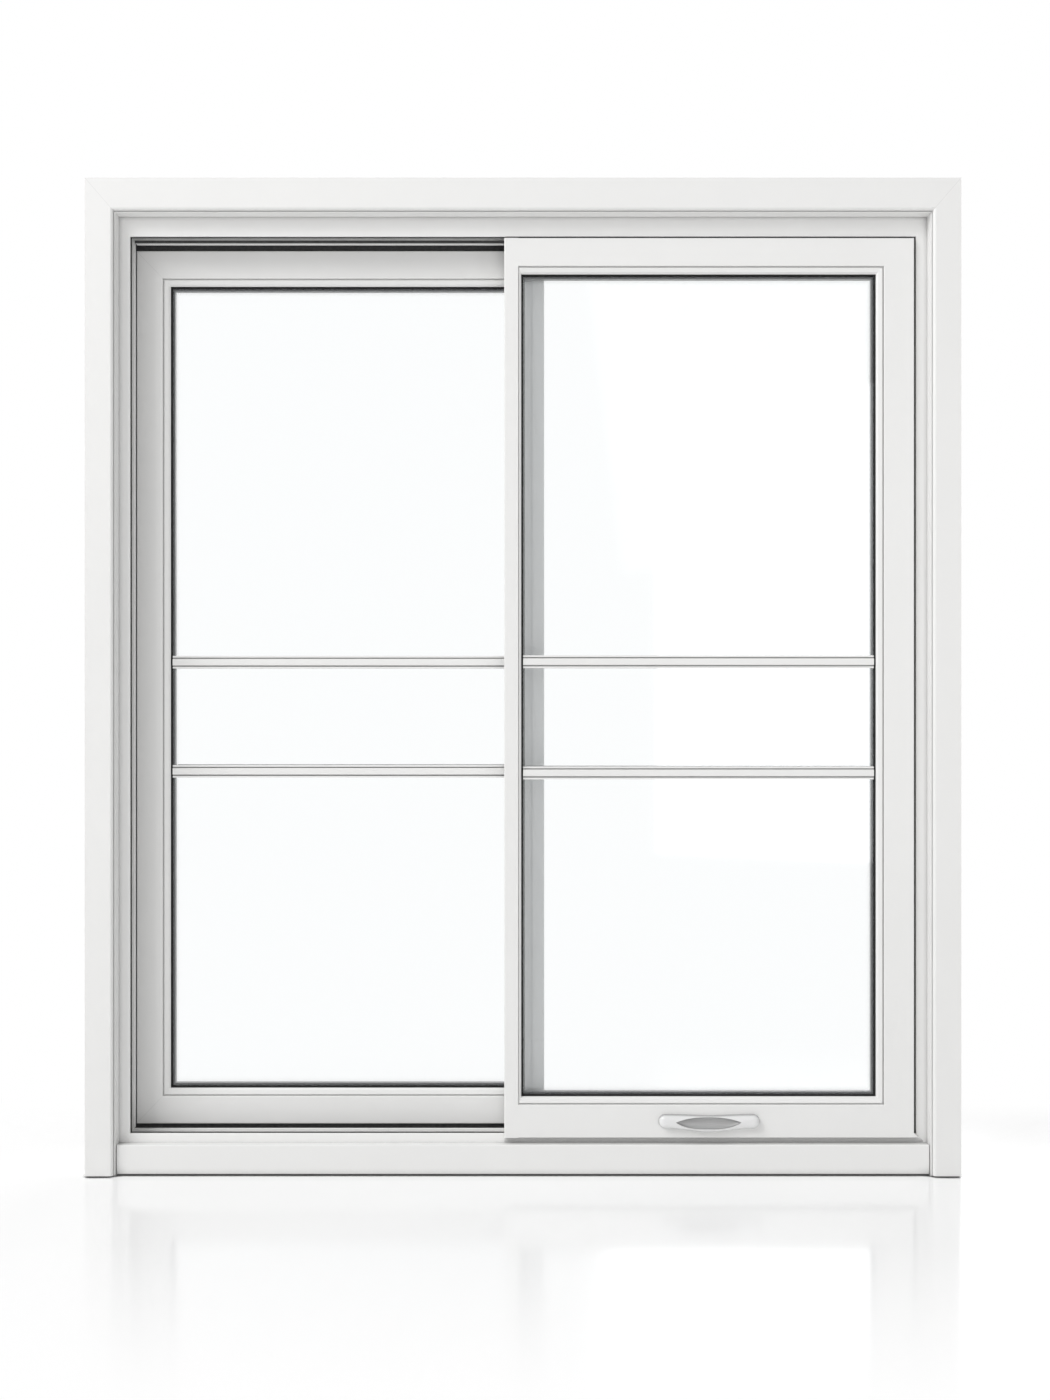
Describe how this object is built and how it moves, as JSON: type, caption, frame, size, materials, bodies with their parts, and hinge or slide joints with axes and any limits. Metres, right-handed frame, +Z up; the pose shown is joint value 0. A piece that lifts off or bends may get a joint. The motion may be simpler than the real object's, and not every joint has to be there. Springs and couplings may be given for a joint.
{
  "type": "horizontal sliding window",
  "caption": "White horizontal sliding window: two double-glazed sashes with glazing bars in a channelled frame, with a mitred casing, a sill board and a finger pull",
  "frame": {"origin": "the middle of the footprint, on the floor plane under the casing legs and the frame sill", "axes": "+X to the right seen from the front, +Y from the front to the back, +Z up"},
  "size_m": [1.052, 0.094, 1.2],
  "materials": {
    "casing_white": "smooth white, slightly satin",
    "frame_white": "smooth white with a soft sheen",
    "sash_white": "smooth white with a soft sheen",
    "bead_white": "smooth white with a soft sheen",
    "gasket": "matt black",
    "glass": "clear and polished",
    "spacer": "satin grey",
    "bar_white": "smooth white with a soft sheen",
    "roller": "dark moulded",
    "pile": "dark brushed pile",
    "track": "mill finish",
    "pull_white": "white powder coat, smooth"
  },
  "bodies": {
    "root": {"casing_head": "casing_white", "casing_leg_left": "casing_white", "casing_leg_right": "casing_white", "frame_head": "frame_white", "frame_jamb_left": "frame_white", "frame_jamb_right": "frame_white", "frame_lip_seal": "gasket", "frame_sill": "frame_white", "front_sash_bead_bottom": "bead_white", "front_sash_bead_left": "bead_white", "front_sash_bead_right": "bead_white", "front_sash_bead_top": "bead_white", "front_sash_bottom_rail": "sash_white", "front_sash_gasket_back": "gasket", "front_sash_gasket_front": "gasket", "front_sash_glass_spacer": "spacer", "front_sash_glazing_bars": "bar_white", "front_sash_meeting_stile": "sash_white", "front_sash_outer_stile": "sash_white", "front_sash_pane_back": "glass", "front_sash_pane_front": "glass", "front_sash_pull": "pull_white", "front_sash_rollers": "roller", "front_sash_top_rail": "sash_white", "front_track": "track", "head_pile_strip": "pile", "rear_sash_bead_bottom": "bead_white", "rear_sash_bead_left": "bead_white", "rear_sash_bead_right": "bead_white", "rear_sash_bead_top": "bead_white", "rear_sash_bottom_rail": "sash_white", "rear_sash_gasket_back": "gasket", "rear_sash_gasket_front": "gasket", "rear_sash_glass_spacer": "spacer", "rear_sash_glazing_bars": "bar_white", "rear_sash_meeting_stile": "sash_white", "rear_sash_outer_stile": "sash_white", "rear_sash_pane_back": "glass", "rear_sash_pane_front": "glass", "rear_sash_pile_seal": "pile", "rear_sash_rollers": "roller", "rear_sash_top_rail": "sash_white", "rear_track": "track", "sill_board": "casing_white"}
  },
  "joints": []
}
